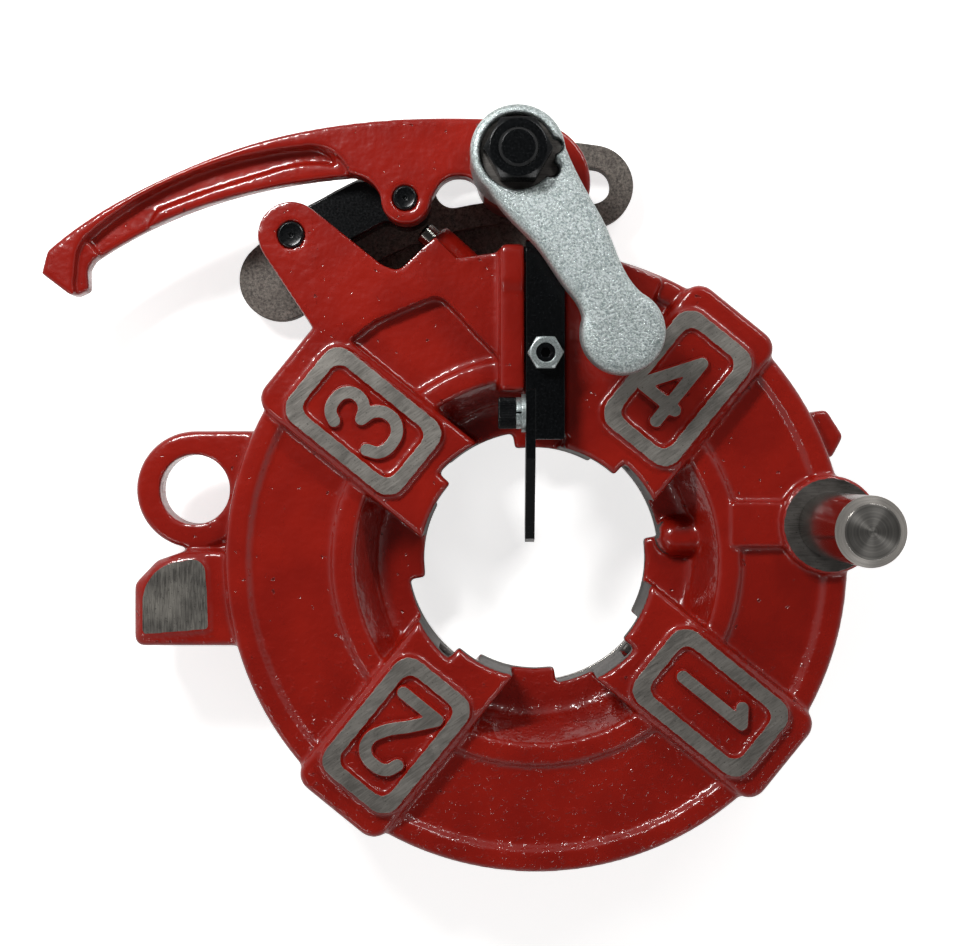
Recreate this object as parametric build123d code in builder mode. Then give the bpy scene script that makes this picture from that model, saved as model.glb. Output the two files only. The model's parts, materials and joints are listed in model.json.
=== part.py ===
from build123d import *
import os
from math import atan2, cos, degrees, hypot, radians, sin, sqrt

os.makedirs("parts", exist_ok=True)

# Self-opening pipe threading die head, in millimetres. The pipe axis is Z, and Z = 0 is the back
# that the head rests on. The numbered side faces +Z, the mounting post stands up on the +X side.

# Clearances
gap = 0.3            # between pieces that slide past each other
pin_gap = 0.05       # radial, a pin or shaft turning in its hole

# Head casting: ring
casting_thick = 40.0
ring_r = 132.7
rim_width = 9.7
inner_rim_r = 86.5
inner_rim_width = 8.7
web_drop = 3.0
land_r = 48.5        # bore between the die slots, where the ring's floor ends
floor_thick = 9.0
floor_lift = 5.7     # the floor's underside over the casting's back
floor_r = 69.0       # foot of the slope from the floor up to the inner rim
floor_fillet = 8.0
cast_radius = 2.5    # usual rounding of a cast edge
core_inner_r = 78.0  # hollow under the ring, open to the back
core_outer_r = 124.5
core_roof = 7.0
floor_rib_r = 8.5    # rib across the floor, towards the post's boss
floor_rib_y = 9.5

# Cam plate and what holds it
plate_thick = 14.0
plate_r = 125.0
bore_r = 56.5        # round pipe bore through the spigot and the retaining ring
spigot_wall = 13.5
ring_thick = 4.0
ring_lip = 8.0       # how far the retaining ring reaches over the plate
ring_screw_count = 8
ring_screw_r = 2.5
ring_screw_length = 12.0
cam_slot_count = 4
cam_slot_width = 9.0
cam_slot_inner_r = 88.0
cam_slot_rise = 18.0
cam_slot_sweep = 58.0

# Die housings, pads and slots
housing_count = 4
housing_angle = 51.0
housing_width = 46.0
housing_end_r = 136.0
housing_rise = 3.7   # over the rims
lip_setback = 0.6    # the housing's end stands this far behind the floor's edge
pad_length = 62.0
pad_width = 39.5
pad_mid_r = 94.0
pad_rise = 4.0
pad_corner = 8.0
pad_frame = 6.9      # width of the machined frame round the numeral
recess_depth = 3.0
die_width = 16.5
die_roof = 8.0       # casting left over a die slot
relief_r = 55.5      # chip relief cut into the bore beside each die slot
relief_sweep = 38.0
relief_offset = 3.0  # degrees from the slot's middle line to the chip relief

# Toggle linkage: frame pin, lever pin and clamp stud
frame_pin_at = (-103.8, 138.0)
lever_pin_at = (-55.6, 153.3)
stud_at = (-8.7, 167.0)
frame_pin_r = 5.7
lever_pin_r = 5.2
link_thick = 14.0
link_level = 30.0
link_frame_eye_r = 12.5
link_lever_eye_r = 10.7
link_bulge = 15.9
link_hollow_r = 6.0   # hollow in the link's lower edge, before the lever pin's eye
arm_level = 58.0
arm_foot = 17.0
arm_eye_r = 14.2
clevis_width = 34.0
arm_inner_r = 57.0   # the arm's flat reaches down between the bar and housing 4
arm_inner_y = 56.0
pocket_at = ((-15.8, 86.0), (-41.0, 113.0), (-69.0, 101.5))    # corners of the pocket in the arm
pocket_round = 7.0

# Cam plate's lobe with the slot for the clamp stud
lobe_thick = 8.0
lobe_end_r = 18.2
lobe_start = 81.0
lobe_stop = 132.5
slot_start = 81.0
slot_stop = 102.4
slot_r = 8.0
lobe_web_thick = 6.0
lobe_web_level = 3.0

# Throwout lever
lever_level = 44.7
lever_thick = 15.0
lever_hub_r = 17.0
lug_r = 10.7
nose_r = 25.7
nose_at = (-3.0, 160.0)
grip_step = 4.0        # the grip's inner flange lies this far below the outer one
grip_flute = 8.0

# Clamp stud, clamp lever and nut
stud_r = 8.0
stud_neck_r = 6.0
clamp_plate_r = 11.0
clamp_plate_thick = 2.5
stud_head_r = 9.0
stud_head_height = 2.7
spacer_r = 17.0
spacer_thick = 3.0
clamp_hub_r = 19.4
clamp_hub_height = 33.5
clamp_knob_r = 17.3
clamp_knob_height = 19.0
clamp_arm_thick = 14.0
clamp_round = 3.5
clamp_knob_at = (33.8, 94.5)
nut_recess_r = 15.4
nut_recess_depth = 6.0
lock_washer_thick = 2.0
nut_across = 24.0
nut_height = 13.0

# Trigger: bar, blade, pivot, adjusting screw
bar_width = 16.0
bar_thick = 10.0
bar_at_x = 3.2
bar_tip_y = 51.5
pivot_y = 129.0
pivot_level = 64.0
pivot_r = 3.3
channel_depth = 4.0  # air under the bar
wall_width = 11.0
wall_end_y = 71.5
wall_step_y = 115.0
wall_rise = 11.0
blade_thick = 4.0
blade_end_y = 7.5
adjuster_y = 87.3
adjuster_r = 4.0
lock_nut_across = 13.0
lock_nut_height = 6.5
cap_screw_r = 4.0
cap_head_r = 6.6
cap_head_length = 8.0
trigger_screw_y = 62.5
spring_washer_thick = 2.2
flat_washer_thick = 1.8
foot_level = 31.0      # lowest end of the bar's wedge foot
foot_width = 7.0
foot_at = 62.0        # from the plunger's tip to the wedge, along the plunger

# Trip plunger
plunger_angle = 138.0
plunger_r = 4.7
plunger_tip_at = (-48.6, 142.3)
plunger_level = 36.0
plunger_boss_r = 8.2
plunger_boss_from = 6.0
plunger_collar_r = 6.1
plunger_collar_at = 32.0
plunger_guide = 18.0   # length of the close hole behind the tip
plunger_travel = 1.4
spring_wire_r = 0.7
spring_turns = 6

# Mounting post, ear, rest pad
post_at = (ring_r - 8.8, 15.5)
post_r = 13.8
post_height = 83.0
post_seat = 26.0
post_shank_r = 12.5    # thinner end, pressed into the boss up to the shoulder
post_chamfer = 3.2
post_boss_r = 20.8
post_boss_rise = 6.0
post_pin_r = 3.0
ear_at = (-ring_r - 13.7, 30.2)
ear_hole_r = 15.0
ear_r = 25.2
ear_level = 28.0
ear_thick = 18.0
rest_level = 52.0
rest_thick = 30.0

# Levels and radii worked out from the sizes above
back_level = plate_thick + gap
rim_level = back_level + casting_thick
web_level = rim_level - web_drop
housing_level = rim_level + housing_rise
pad_level = housing_level + pad_rise
floor_level = back_level + floor_lift + floor_thick
spigot_r = bore_r + spigot_wall
ring_outer_r = spigot_r + ring_lip
link_top = link_level + link_thick
lever_top = lever_level + lever_thick
lobe_level = plate_thick - lobe_thick
slot_mid_r = hypot(*stud_at)
link_length = hypot(lever_pin_at[0] - frame_pin_at[0], lever_pin_at[1] - frame_pin_at[1])
bar_level = arm_level + 2.0
plunger_dir = (-cos(radians(plunger_angle)), -sin(radians(plunger_angle)), 0)
plunger_axis = Plane(origin=(*plunger_tip_at, plunger_level), z_dir=plunger_dir)


def polar(radius, angle):
    """A point at a radius and an angle in degrees round the pipe axis."""
    return (radius * cos(radians(angle)), radius * sin(radians(angle)))


def around(middle, radius, angle):
    """A point at a radius and an angle in degrees round another point."""
    return (middle[0] + radius * cos(radians(angle)), middle[1] + radius * sin(radians(angle)))


def write(piece, name):
    """Labels a finished piece and writes its file."""
    piece.part.label = name
    export_step(piece.part, f"parts/{name}.step")


# Chip relief beside a die slot, a sector to cut away, modelled from +X on
with BuildPart() as chip_relief:
    with BuildSketch(Plane.XY.offset(back_level)):
        with BuildLine():
            Line((0, 0), (relief_r, 0))
            CenterArc((0, 0), relief_r, 0, relief_sweep)
            Line(polar(relief_r, relief_sweep), (0, 0))
        make_face()
    extrude(amount=housing_level)

# Die housing: one block over a die slot, with its numbered pad, modelled along +X
with BuildPart() as housing:
    housing_start = land_r - 6
    with BuildSketch(Plane.XY.offset(back_level)) as housing_plan:
        with Locations(((housing_end_r + housing_start) / 2, 0)):
            Rectangle(housing_end_r - housing_start, housing_width)
        outer_corners = housing_plan.vertices().group_by(Axis.X)[-1]
        fillet(outer_corners, pad_corner)
    extrude(amount=housing_level - back_level)
    with BuildSketch(Plane.XY.offset(back_level)):
        Circle(land_r + lip_setback)
    extrude(amount=housing_level, mode=Mode.SUBTRACT)
    with PolarLocations(0, 1, start_angle=-relief_offset - relief_sweep):
        add(chip_relief.part, mode=Mode.SUBTRACT)
    fillet(housing.faces().sort_by(Axis.Z)[-1].edges(), cast_radius)
    with BuildSketch(Plane.XY.offset(housing_level)):
        with Locations((pad_mid_r, 0)):
            RectangleRounded(pad_length, pad_width, pad_corner)
    extrude(amount=pad_rise)
    with BuildSketch(Plane.XY.offset(pad_level - recess_depth)):
        with Locations((pad_mid_r, 0)):
            RectangleRounded(pad_length - 2 * pad_frame, pad_width - 2 * pad_frame, pad_corner * 0.6)
    extrude(amount=recess_depth, mode=Mode.SUBTRACT)

# Frame arm with the eye for the frame pin, the notch for the plunger and the pocket beside the bar
wall_left = bar_at_x - bar_width / 2 - wall_width
bar_left = bar_at_x - bar_width / 2
bar_right = bar_at_x + bar_width / 2
wall_top_y = pivot_y + 4.0
with BuildPart() as frame_arm:
    with BuildSketch(Plane.XY.offset(back_level)) as arm_plan:
        with BuildLine():
            arm_root = polar(ring_r - rim_width, housing_angle + 84)
            eye_low = around(frame_pin_at, arm_eye_r, 212)
            eye_far = around(frame_pin_at, arm_eye_r, 127)
            eye_high = around(frame_pin_at, arm_eye_r, 51)
            Line(arm_root, eye_low)
            ThreePointArc(eye_low, eye_far, eye_high)
            Polyline(
                eye_high,
                (-65.7, 125.6),
                (-58.6, 122.6),
                (-42.9, 137.4),
                (-33.7, 128.1),
                (wall_left, 130.7),
                (wall_left, wall_top_y),
                (bar_right + 18, wall_top_y),
                (bar_right + 24, pivot_y - 2),
                polar(ring_r - 2, 66),
                polar(arm_inner_r, 66),
                (bar_left, arm_inner_y),
                (bar_left, wall_end_y),
                (wall_left, wall_end_y),
                *pocket_at,
                arm_root,
            )
        make_face()
        notch = arm_plan.vertices().filter_by_position(Axis.X, -60, -58)
        fillet(notch, 5)
        pocket = [arm_plan.vertices().sort_by_distance(corner)[0] for corner in pocket_at]
        fillet(pocket, pocket_round)
    extrude(amount=arm_level - back_level)

# Walls beside the trigger bar, higher by the pivot, with rounded tops
wall_foot = arm_level - 2
wall_low = arm_level + wall_rise - 2
wall_high = arm_level + wall_rise
with BuildPart() as bar_wall:
    with BuildSketch(Plane.YZ.offset(wall_left)) as wall_profile:
        with BuildLine():
            Polyline(
                (wall_end_y, wall_foot),
                (wall_end_y, wall_low),
                (wall_step_y - 2.5, wall_low),
                (wall_step_y + 3, wall_high),
                (wall_top_y, wall_high),
                (wall_top_y, wall_foot),
                close=True,
            )
        make_face()
        wall_tops = wall_profile.vertices().filter_by_position(Axis.Y, wall_low - 0.1, wall_high + 0.1)
        fillet(wall_tops, 2.5)
    extrude(amount=wall_width)
    fillet(bar_wall.faces().sort_by(Axis.X)[0].edges().sort_by(Axis.Z)[1:], 2)
    fillet(bar_wall.faces().sort_by(Axis.X)[-1].edges().sort_by(Axis.Z)[1:], 1)
with BuildPart() as pivot_block:
    with BuildSketch(Plane.XY.offset(wall_foot)):
        with Locations((bar_right + 9, pivot_y)):
            Rectangle(18, 2 * (wall_top_y - pivot_y))
    extrude(amount=wall_high - wall_foot)
    fillet(pivot_block.faces().sort_by(Axis.Z)[-1].edges(), 2)

# Ear with its hole's boss, and the block with the machined face that the head rests on
with BuildPart() as ear:
    with BuildSketch(Plane.XY.offset(ear_level)):
        with Locations(ear_at):
            Circle(ear_r)
        with Locations((ear_at[0] + 16, ear_at[1] + ear_r / 2)):
            Rectangle(32, ear_r)
        with Locations((ear_at[0] + 14, ear_at[1] - 8)):
            Rectangle(24, 22)
    extrude(amount=ear_thick)
    fillet(ear.faces().sort_by(Axis.Z)[-1].edges(), cast_radius)
rest_left = -ring_r - 38.8
rest_right = -ring_r + 6.7
with BuildPart() as rest_block:
    with BuildSketch(Plane.XY.offset(rest_level - rest_thick)) as rest_plan:
        with BuildLine():
            Polyline(
                (rest_left, -10),
                (rest_left, -36.5),
                (rest_right, -36.5),
                (rest_right, 4),
                (rest_left + 21.5, 4),
                (rest_left + 9.5, 0),
                close=True,
            )
        make_face()
        fillet(rest_plan.vertices().filter_by_position(Axis.X, rest_left - 1, rest_left + 22), 4)
    extrude(amount=rest_thick - 1.5)
    fillet(rest_block.faces().sort_by(Axis.Z)[-1].edges(), cast_radius)
    face_left = rest_left + 2.9
    face_right = rest_left + 33.1
    with BuildSketch(Plane.XY.offset(rest_level - 2)):
        with BuildLine():
            Polyline((face_left, -16), (face_left, -32.4), (face_right, -30), (face_right - 1.3, -4))
            ThreePointArc((face_right - 1.3, -4), (face_right - 4.6, 1), (face_left + 18.6, 1))
            ThreePointArc((face_left + 18.6, 1), (face_left + 5.6, -4), (face_left, -16))
        make_face()
    extrude(amount=2)

# Head casting: one piece with ring, housings, frame arm, trigger channel, ear and bosses
with BuildPart() as head_casting:
    with BuildSketch(Plane.XZ) as ring_section:
        with BuildLine():
            Polyline(
                (land_r, back_level + floor_lift),
                (bore_r, back_level + floor_lift),
                (bore_r, ring_thick),
                (spigot_r, ring_thick),
                (spigot_r, back_level),
                (ring_r - 4, back_level),
                (ring_r, rim_level),
                (ring_r - rim_width, rim_level),
                (ring_r - rim_width - web_drop / 2, web_level),
                (inner_rim_r + web_drop / 2, web_level),
                (inner_rim_r, rim_level),
                (inner_rim_r - inner_rim_width, rim_level),
                (floor_r, floor_level),
                (land_r, floor_level - 2),
                close=True,
            )
        make_face()
        rims = ring_section.vertices().filter_by_position(Axis.Y, rim_level - 0.1, rim_level + 0.1)
        fillet(rims, cast_radius)
        web_corners = ring_section.vertices().filter_by_position(Axis.Y, web_level - 0.1, web_level + 0.1)
        fillet(web_corners, web_drop / 2)
        fillet(ring_section.vertices().sort_by_distance((floor_r, floor_level))[0:1], floor_fillet)
    revolve(axis=Axis.Z)
    with PolarLocations(0, housing_count, start_angle=housing_angle):
        add(housing.part)

    add(frame_arm.part)

    # Boss round the trip plunger
    with BuildSketch(plunger_axis.offset(plunger_boss_from)):
        Circle(plunger_boss_r)
    extrude(amount=30)

    add(bar_wall.part)
    add(pivot_block.part)

    # Post boss with its rib, side lug, ear and rest block
    with BuildSketch(Plane.XY.offset(back_level)):
        with Locations(post_at):
            Circle(post_boss_r)
    extrude(amount=rim_level + post_boss_rise - back_level)
    with BuildSketch(Plane.XY.offset(web_level - 4)):
        with Locations(((inner_rim_r + post_at[0]) / 2, post_at[1])):
            Rectangle(post_at[0] - inner_rim_r + 8, 19)
    extrude(amount=rim_level + 2 - web_level + 4)
    with BuildSketch(Plane.XY.offset(rim_level - 26)) as lug_plan:
        with BuildLine():
            Polyline(
                (ring_r - 20.7, 62.5),
                (ring_r - 8.1, 64.5),
                (ring_r - 0.7, 53.0),
                (ring_r - 5.6, 44),
                (ring_r - 20.7, 44),
                close=True,
            )
        make_face()
        fillet(lug_plan.vertices().group_by(Axis.X)[-1], 3)
    extrude(amount=18)
    add(ear.part)
    add(rest_block.part)

    # Half-round rib with a rounded end between the bore and the post's boss
    with BuildSketch(Plane.YZ.offset(land_r + floor_rib_r + 4)):
        with Locations((floor_rib_y, floor_level)):
            Circle(floor_rib_r)
    extrude(amount=core_inner_r - land_r - floor_rib_r)
    with Locations((land_r + floor_rib_r + 4, floor_rib_y, floor_level)):
        Sphere(floor_rib_r)

    # Cuts: bore, die slots, chip reliefs, clevis, channel, holes
    with BuildSketch(Plane.XY.offset(back_level + floor_lift - 1)):
        Circle(land_r)
    extrude(amount=100, mode=Mode.SUBTRACT)
    with BuildSketch(Plane.XY.offset(back_level - 1)):
        Circle(bore_r)
    extrude(amount=floor_lift + 1, mode=Mode.SUBTRACT)

    # Hollow under the ring, between the housings, the post's boss and the plunger's boss
    with BuildSketch(Plane.XY.offset(back_level)):
        Circle(core_outer_r)
        Circle(core_inner_r, mode=Mode.SUBTRACT)
        with PolarLocations((housing_end_r + land_r) / 2, housing_count, start_angle=housing_angle):
            Rectangle(housing_end_r - land_r, housing_width - 8, mode=Mode.SUBTRACT)
        with Locations(post_at):
            Circle(post_boss_r + 1, mode=Mode.SUBTRACT)
        boss_mid = plunger_axis.offset(foot_at / 2).origin
        with Locations(Location((boss_mid.X, boss_mid.Y, 0), (0, 0, plunger_angle))):
            Rectangle(foot_at + 30, 3 * plunger_boss_r, mode=Mode.SUBTRACT)
    extrude(amount=web_level - core_roof - back_level, mode=Mode.SUBTRACT)
    with BuildSketch(Plane.XY.offset(back_level - 0.01)):
        with PolarLocations((housing_end_r + land_r) / 2, housing_count, start_angle=housing_angle):
            Rectangle(housing_end_r - land_r + 20, die_width)
    extrude(amount=pad_level - die_roof - recess_depth - back_level, mode=Mode.SUBTRACT)
    with PolarLocations(0, housing_count, start_angle=housing_angle - relief_offset - relief_sweep):
        add(chip_relief.part, mode=Mode.SUBTRACT)
    clevis_at = ((frame_pin_at[0] + lever_pin_at[0]) / 2, (frame_pin_at[1] + lever_pin_at[1]) / 2)
    clevis_turn = degrees(atan2(lever_pin_at[1] - frame_pin_at[1], lever_pin_at[0] - frame_pin_at[0]))
    with BuildSketch(Plane.XY.offset(link_level - gap)):
        with Locations(Location((*clevis_at, 0), (0, 0, clevis_turn))):
            SlotCenterToCenter(link_length, clevis_width)
    extrude(amount=link_thick + 2 * gap, mode=Mode.SUBTRACT)
    with BuildSketch(Plane.XY.offset(back_level - 1)):
        with Locations(clevis_at):
            Rectangle(link_length + 3 * arm_eye_r, 4 * arm_eye_r)
    extrude(amount=arm_foot - back_level + 1, mode=Mode.SUBTRACT)
    with BuildSketch(Plane.XY.offset(arm_level - channel_depth)):
        with Locations((bar_at_x, (bar_tip_y + wall_top_y) / 2)):
            Rectangle(bar_width + 2 * gap, wall_top_y - bar_tip_y + 20)
    extrude(amount=40, mode=Mode.SUBTRACT)
    with Locations((*frame_pin_at, arm_level)):
        Hole(frame_pin_r + pin_gap, arm_level)
    with Locations((*ear_at, ear_level + ear_thick)):
        Hole(ear_hole_r, ear_level)
    with Locations((*post_at, rim_level + post_boss_rise)):
        Hole(post_shank_r, post_seat)

    # Trip plunger's stepped hole and the well for the trigger's wedge foot
    with BuildSketch(plunger_axis.offset(-10)):
        Circle(plunger_r + pin_gap)
    extrude(amount=foot_at + 10, mode=Mode.SUBTRACT)
    with BuildSketch(plunger_axis.offset(plunger_guide)):
        Circle(plunger_collar_r + gap)
    extrude(amount=foot_at - plunger_guide, mode=Mode.SUBTRACT)
    with BuildSketch(Plane.XY.offset(foot_level - 3)):
        well_x = plunger_tip_at[0] + plunger_dir[0] * foot_at
        well_y = plunger_tip_at[1] + plunger_dir[1] * foot_at
        with Locations(Location((well_x, well_y, 0), (0, 0, plunger_angle))):
            Rectangle(20, foot_width + 5)
    extrude(amount=arm_level - channel_depth - foot_level + 3.01, mode=Mode.SUBTRACT)

    # Room for the head of the trigger screw, below the wall's end
    with BuildSketch(Plane.XY.offset(pivot_level - 2 * cap_screw_r - 2)):
        with Locations((bar_left - 8, (bar_tip_y + wall_end_y) / 2 - 3)):
            Rectangle(16, wall_end_y - bar_tip_y + 6)
    extrude(amount=40, mode=Mode.SUBTRACT)

    # Pivot hole across the walls, tapped holes for the retaining ring, hole across the post's boss
    with BuildSketch(Plane.YZ.offset(wall_left - 1)):
        with Locations((pivot_y, pivot_level)):
            Circle(pivot_r + pin_gap)
    extrude(amount=60, mode=Mode.SUBTRACT)
    with BuildSketch(Plane.XY.offset(ring_thick)):
        with PolarLocations((bore_r + spigot_r) / 2, ring_screw_count, start_angle=6):
            Circle(ring_screw_r + pin_gap)
    extrude(amount=ring_screw_length - ring_thick + 1, mode=Mode.SUBTRACT)
    with BuildSketch(Plane.YZ.offset(post_at[0] - post_boss_r - 1)):
        with Locations((post_at[1], rim_level - post_seat / 2)):
            Circle(post_pin_r + pin_gap)
    extrude(amount=2 * post_boss_r + 2, mode=Mode.SUBTRACT)
write(head_casting, "head_casting")

# Mounting post with its chamfered end, and the roll pin across it
post_foot = rim_level + post_boss_rise - post_seat
with BuildPart() as mounting_post:
    with BuildSketch(Plane.XY.offset(post_foot)):
        with Locations(post_at):
            Circle(post_shank_r)
    extrude(amount=post_seat)
    with BuildSketch(Plane.XY.offset(post_foot + post_seat)):
        with Locations(post_at):
            Circle(post_r - pin_gap)
    extrude(amount=post_height)
    chamfer(mounting_post.faces().sort_by(Axis.Z)[-1].edges(), post_chamfer)
    with BuildSketch(Plane.YZ.offset(post_at[0] - 40)):
        with Locations((post_at[1], rim_level - post_seat / 2)):
            Circle(post_pin_r + pin_gap)
    extrude(amount=80, mode=Mode.SUBTRACT)
write(mounting_post, "mounting_post")

with BuildPart() as post_pin:
    with BuildSketch(Plane.YZ.offset(post_at[0] - post_boss_r + 1)):
        with Locations((post_at[1], rim_level - post_seat / 2)):
            Circle(post_pin_r)
            Circle(post_pin_r - 1.2, mode=Mode.SUBTRACT)
    extrude(amount=2 * post_boss_r - 2)
write(post_pin, "post_pin")

# Cam plate: round plate on the spigot with spiral cam slots, and the slotted lobe for the clamp stud
with BuildPart() as cam_plate:
    with BuildSketch():
        Circle(plate_r)
        Circle(spigot_r + pin_gap, mode=Mode.SUBTRACT)
    extrude(amount=plate_thick)
    with BuildSketch():
        Circle(ring_outer_r + gap)
    extrude(amount=ring_thick + gap, mode=Mode.SUBTRACT)
    with BuildSketch(Plane.XY.offset(lobe_web_level)):
        with BuildLine():
            Polyline(
                polar(plate_r - 8, lobe_start + 3),
                polar(slot_mid_r - 12, lobe_start + 2),
                polar(slot_mid_r - 8, (lobe_start + lobe_stop) / 2),
                polar(slot_mid_r - 12, lobe_stop - 1),
                polar(plate_r - 8, lobe_stop - 1),
                close=True,
            )
        make_face()
    extrude(amount=lobe_web_thick)
    with BuildSketch(Plane.XY.offset(lobe_level)):
        lobe_arc = CenterArc((0, 0), slot_mid_r, lobe_start, lobe_stop - lobe_start, mode=Mode.PRIVATE)
        SlotArc(lobe_arc, 2 * lobe_end_r)
    extrude(amount=lobe_thick)
    with BuildSketch():
        slot_arc = CenterArc((0, 0), slot_mid_r, slot_start, slot_stop - slot_start, mode=Mode.PRIVATE)
        SlotArc(slot_arc, 2 * slot_r)
    extrude(amount=plate_thick, mode=Mode.SUBTRACT)
    with BuildSketch():
        spiral = ThreePointArc(
            polar(cam_slot_inner_r, -cam_slot_sweep / 2),
            polar(cam_slot_inner_r + cam_slot_rise * 0.5, 0),
            polar(cam_slot_inner_r + cam_slot_rise, cam_slot_sweep / 2),
            mode=Mode.PRIVATE,
        )
        with PolarLocations(0, cam_slot_count, start_angle=housing_angle):
            SlotArc(spiral, cam_slot_width)
    extrude(amount=plate_thick, mode=Mode.SUBTRACT)
write(cam_plate, "cam_plate")

# Retaining ring that holds the cam plate on the spigot, and its countersunk screws
with BuildPart() as retaining_ring:
    with BuildSketch():
        Circle(ring_outer_r)
        Circle(bore_r, mode=Mode.SUBTRACT)
    extrude(amount=ring_thick)
    with Locations(Location((0, 0, 0), (180, 0, 0))):
        with PolarLocations((bore_r + spigot_r) / 2, ring_screw_count, start_angle=-6):
            CounterSinkHole(ring_screw_r + 0.3, 2 * ring_screw_r, ring_thick + 1)
write(retaining_ring, "retaining_ring")

with BuildPart() as ring_screws:
    with BuildSketch(Plane.XZ):
        with BuildLine():
            Polyline(
                (0, gap),
                (2 * ring_screw_r - 0.6, gap),
                (ring_screw_r, ring_screw_r - 0.2),
                (ring_screw_r, ring_screw_length),
                (0, ring_screw_length),
                close=True,
            )
        make_face()
    revolve(axis=Axis.Z)
one_screw = ring_screws.part
with BuildPart() as ring_screws:
    with PolarLocations((bore_r + spigot_r) / 2, ring_screw_count, start_angle=6):
        add(one_screw)
write(ring_screws, "ring_screws")

# Toggle link between the frame pin and the lever pin, with its raised back
link_plane = Plane(
    origin=(*frame_pin_at, link_level),
    x_dir=(lever_pin_at[0] - frame_pin_at[0], lever_pin_at[1] - frame_pin_at[1], 0),
    z_dir=(0, 0, 1),
)
with BuildPart() as link:
    with BuildSketch(link_plane) as link_plan:
        with BuildLine():
            foot = around((0, 0), link_frame_eye_r, 281)
            eye_low = around((link_length, 0), link_lever_eye_r, 204.7)
            Line(foot, eye_low)
            ThreePointArc(eye_low, (link_length + link_lever_eye_r, 0), (link_length, link_lever_eye_r))
            Polyline((link_length, link_lever_eye_r), (33, link_bulge), (7, link_frame_eye_r - 1.2))
            ThreePointArc((7, link_frame_eye_r - 1.2), (-link_frame_eye_r, 0), foot)
        make_face()
        fillet(link_plan.vertices().sort_by_distance((33, link_bulge))[0:1], 8)
        fillet(link_plan.vertices().sort_by_distance(eye_low)[0:1], link_hollow_r)
    extrude(amount=link_thick)
    chamfer(link.faces().filter_by(Axis.Z).edges(), 0.8)
    with Locations((*frame_pin_at, link_top)):
        Hole(frame_pin_r + pin_gap)
    with Locations((*lever_pin_at, link_top)):
        Hole(lever_pin_r + pin_gap)
write(link, "link")

# Hinge pins of the toggle
with BuildPart() as frame_pin:
    with BuildSketch(Plane.XY.offset(arm_foot)):
        with Locations(frame_pin_at):
            Circle(frame_pin_r)
    extrude(amount=arm_level - arm_foot + 0.8)
    chamfer(frame_pin.faces().filter_by(Axis.Z).edges(), 0.8)
write(frame_pin, "frame_pin")

with BuildPart() as lever_pin:
    with BuildSketch(Plane.XY.offset(link_level - 1)):
        with Locations(lever_pin_at):
            Circle(lever_pin_r)
    extrude(amount=lever_top - link_level + 1.8)
    chamfer(lever_pin.faces().filter_by(Axis.Z).edges(), 0.8)
write(lever_pin, "lever_pin")

# Throwout lever: curved grip with a flute, lug for the link, hub over the cam plate's slot
with BuildPart() as throwout_lever:
    with BuildSketch(Plane.XY.offset(lever_level)) as lever_plan:
        with BuildLine():
            tip_top = (-206.5, 131)
            tip_low = (-208.9, 121.5)
            nose_top = (nose_at[0], nose_at[1] + nose_r)
            nose_low = around(nose_at, nose_r, -14)
            Spline(tip_top, (-193.8, 141.1), (-157.5, 161.6), (-118, 176.9), (-91.3, 182.9), nose_top)
            ThreePointArc(nose_top, (nose_at[0] + nose_r, nose_at[1]), nose_low)
            ThreePointArc(nose_low, (18, 148.7), (10, 146))
            Polyline((10, 146), (-9, 146), (-22, 153.5), (-26, 160.5))
            ThreePointArc((-26, 160.5), (-34, 163), (-41.5, 158.5))
            Line((-41.5, 158.5), (lever_pin_at[0] + lug_r, lever_pin_at[1] - 1))
            ThreePointArc(
                (lever_pin_at[0] + lug_r, lever_pin_at[1] - 1),
                (lever_pin_at[0] - 1.5, lever_pin_at[1] - lug_r),
                (lever_pin_at[0] - lug_r * 0.95, lever_pin_at[1] + 0.5),
            )
            ThreePointArc(
                (lever_pin_at[0] - lug_r * 0.95, lever_pin_at[1] + 0.5),
                (-70.8, 160.6),
                (-78, 163.4),
            )
            Spline((-78, 163.4), (-101.2, 160.6), (-139.9, 151.2), (-174.2, 136.1), (-188, 127.6))
            Polyline((-188, 127.6), (-190.4, 123.5), (-189.8, 115), (-196.2, 111.9), tip_low, tip_top)
        make_face()
        tip_corners = lever_plan.vertices().filter_by_position(Axis.X, -210, -188.5)
        fillet(tip_corners.sort_by(Axis.X)[1:3], 2.4)
    extrude(amount=lever_thick)
    with BuildSketch(Plane.XY.offset(lobe_level + lobe_thick + gap)):
        with Locations(stud_at):
            Circle(lever_hub_r)
    extrude(amount=lever_level - lobe_level - lobe_thick)
    with BuildSketch(Plane.XY.offset(lever_top - grip_step)):
        with BuildLine():
            Spline((-191, 136.4), (-178.5, 146.5), (-151.7, 161.6), (-115.4, 172.7), (-98.5, 175.1))
            ThreePointArc((-98.5, 175.1), (-84.5, 171.5), (-78.7, 162.5))
            Polyline((-78.7, 162.5), (-78.7, 150), (-194, 100), (-195.4, 118), (-194, 131), (-191, 136.4))
        make_face()
    extrude(amount=grip_step, mode=Mode.SUBTRACT)
    with BuildSketch(Plane.XY.offset(lever_top - grip_flute)):
        with BuildLine():
            Spline((-191, 136.4), (-178.5, 146.5), (-151.7, 161.6), (-115.4, 172.7), (-98.5, 175.1))
            ThreePointArc((-98.5, 175.1), (-90, 173.8), (-84.5, 167.5))
            Spline((-84.5, 167.5), (-98.9, 168.4), (-115.8, 164.2), (-146.7, 154.3), (-160.8, 148.7))
            Polyline((-160.8, 148.7), (-167, 137), (-182, 126), (-191, 136.4))
        make_face()
    extrude(amount=grip_flute, mode=Mode.SUBTRACT)
    with Locations((*lever_pin_at, lever_top)):
        Hole(lever_pin_r + pin_gap)
    with Locations((*stud_at, lever_top)):
        Hole(stud_r + pin_gap)
write(throwout_lever, "throwout_lever")

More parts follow.
